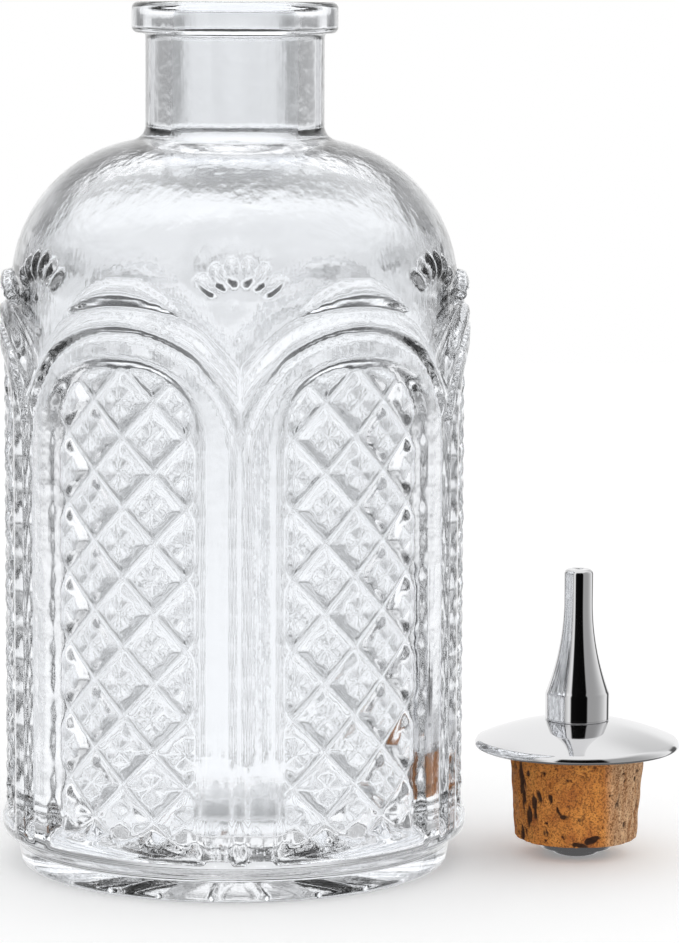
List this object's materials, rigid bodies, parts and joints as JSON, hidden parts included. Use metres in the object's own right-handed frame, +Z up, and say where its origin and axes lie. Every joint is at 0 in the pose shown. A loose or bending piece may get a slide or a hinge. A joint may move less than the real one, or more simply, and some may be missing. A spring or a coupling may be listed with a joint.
{
  "type": "bitters bottle",
  "caption": "Round pressed glass bottle with arched diamond panels, and its cork dasher stopper with a slim metal nozzle standing beside it.",
  "frame": {"origin": "middle of the bottle's foot, on the surface that the bottle and its stopper stand on", "axes": "+Z up along the bottle's axis and out of its mouth, +X from the bottle's axis to the stopper's axis"},
  "size_m": [0.0934, 0.0638, 0.1171],
  "materials": {
    "clear_glass": "clear pressed glass, fire polished",
    "natural_cork": "natural cork, cut faces with open pores",
    "polished_cover": "mirror polished",
    "polished_nozzle": "mirror polished",
    "turned_steel": "turned, bright",
    "rubber_seal": "matt",
    "white_plastic": "moulded"
  },
  "bodies": {
    "bottle": {"bottle": "clear_glass"},
    "stopper": {"cork": "natural_cork", "cover_disc": "polished_cover", "nozzle": "polished_nozzle", "nozzle_gasket": "rubber_seal", "dash_insert": "white_plastic", "hollow_bolt": "turned_steel", "cup_washer": "turned_steel"}
  },
  "joints": [
    {"name": "stopper_lift", "type": "slide", "parent": "bottle", "child": "stopper", "axis": [0, 0, 1], "range_m": [0, 0.12]}
  ]
}
